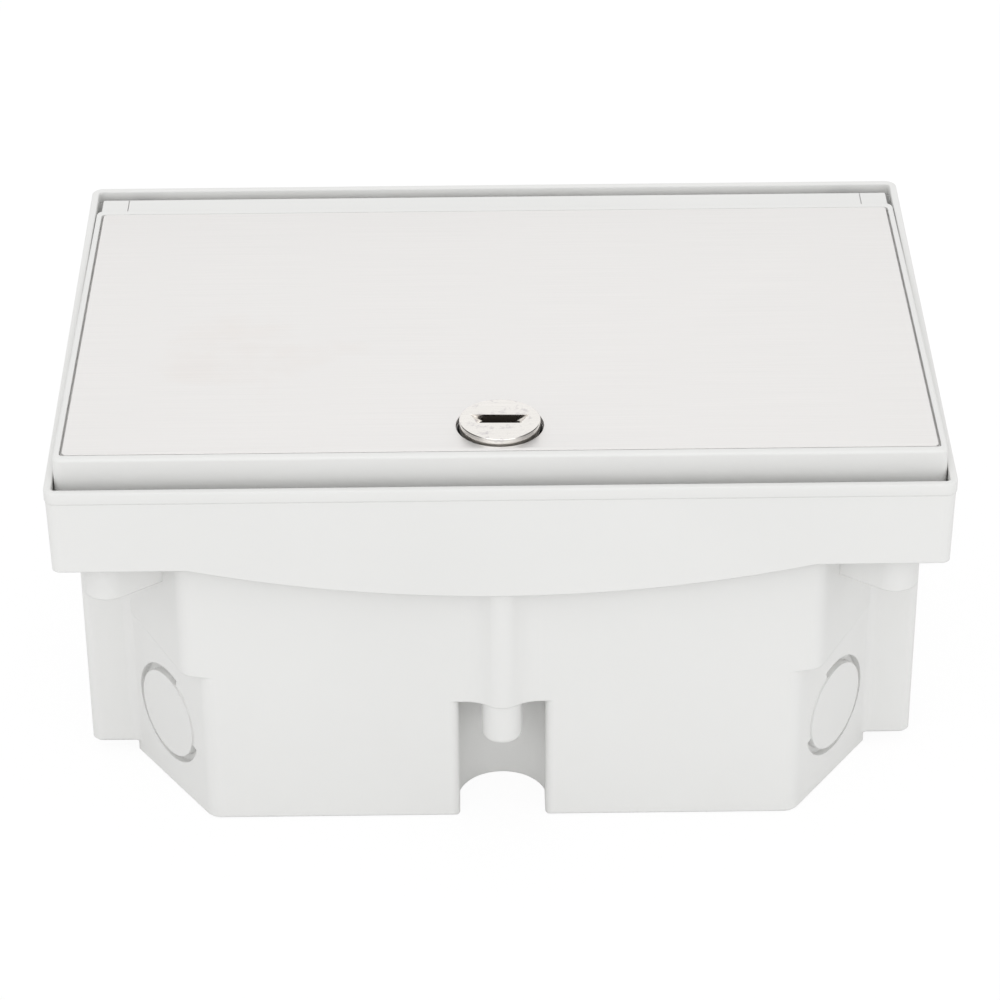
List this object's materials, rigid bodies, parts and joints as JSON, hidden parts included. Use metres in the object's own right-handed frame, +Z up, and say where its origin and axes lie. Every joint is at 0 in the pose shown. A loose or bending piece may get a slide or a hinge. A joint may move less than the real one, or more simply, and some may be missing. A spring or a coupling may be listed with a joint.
{
  "type": "floor socket box",
  "caption": "Floor socket box: moulded tub with knockouts, skirted frame, hinged steel-plated lid with a coin-slot lock, and a carrier with sockets and data jacks.",
  "frame": {"origin": "middle of the bounding box in plan, at the bottom of the tub", "axes": "+Z up, +X to the right of the lock, +Y to the back, where the hinge is; the front is -Y"},
  "size_m": [0.226, 0.158, 0.1136],
  "materials": {
    "pale_plastic": "fine satin moulded surface",
    "white_plastic": "semi-gloss",
    "black_plastic": "satin",
    "brushed_plate": "fine brushing along the width",
    "chrome": "polished",
    "zinc": "zinc plated",
    "brass": "drawn",
    "black_rubber": "matte"
  },
  "bodies": {
    "box": {"recess_tub": "pale_plastic", "skirt_collar": "pale_plastic", "rim_frame": "pale_plastic", "lid_seal": "black_rubber", "collar_screws": "zinc", "hinge_bracket_left": "zinc", "hinge_bracket_right": "zinc", "bracket_screws": "zinc", "module_carrier": "zinc", "carrier_screws": "zinc", "blank_module": "white_plastic", "circuit_divider": "pale_plastic", "cable_clamp_left": "white_plastic", "cable_clamp_right": "white_plastic", "clamp_screws": "zinc", "terminal_block": "white_plastic", "terminal_screws": "brass", "power_socket_1": "white_plastic", "contact_tubes_1": "brass", "earth_clips_1": "brass", "power_socket_2": "white_plastic", "contact_tubes_2": "brass", "earth_clips_2": "brass", "power_socket_3": "white_plastic", "contact_tubes_3": "brass", "earth_clips_3": "brass", "data_module_1": "white_plastic", "data_module_2": "white_plastic", "data_jack_1": "black_plastic", "data_jack_2": "black_plastic", "data_jack_3": "black_plastic", "data_jack_4": "black_plastic"},
    "lid": {"lid_tray": "pale_plastic", "cover_plate": "brushed_plate", "lid_stiffener": "zinc", "stiffener_screws": "zinc", "lid_bumpers": "black_rubber", "hinge_pins": "zinc", "hinge_cap_left": "pale_plastic", "hinge_cap_right": "pale_plastic", "lock_housing": "black_plastic"},
    "lock": {"lock_knob": "chrome", "lock_cam": "zinc", "cam_nut": "brass"}
  },
  "joints": [
    {"name": "lid_hinge", "type": "hinge", "parent": "box", "child": "lid", "pos_m": [0, 0.0694, 0.1], "axis": [-1, 0, 0], "range_deg": [-2.4, 97.6]},
    {"name": "lock_turn", "type": "hinge", "parent": "lid", "child": "lock", "pos_m": [0, -0.05789, 0.10533], "axis": [0, -0.0419, -0.9991], "range_deg": [0, 90]}
  ]
}
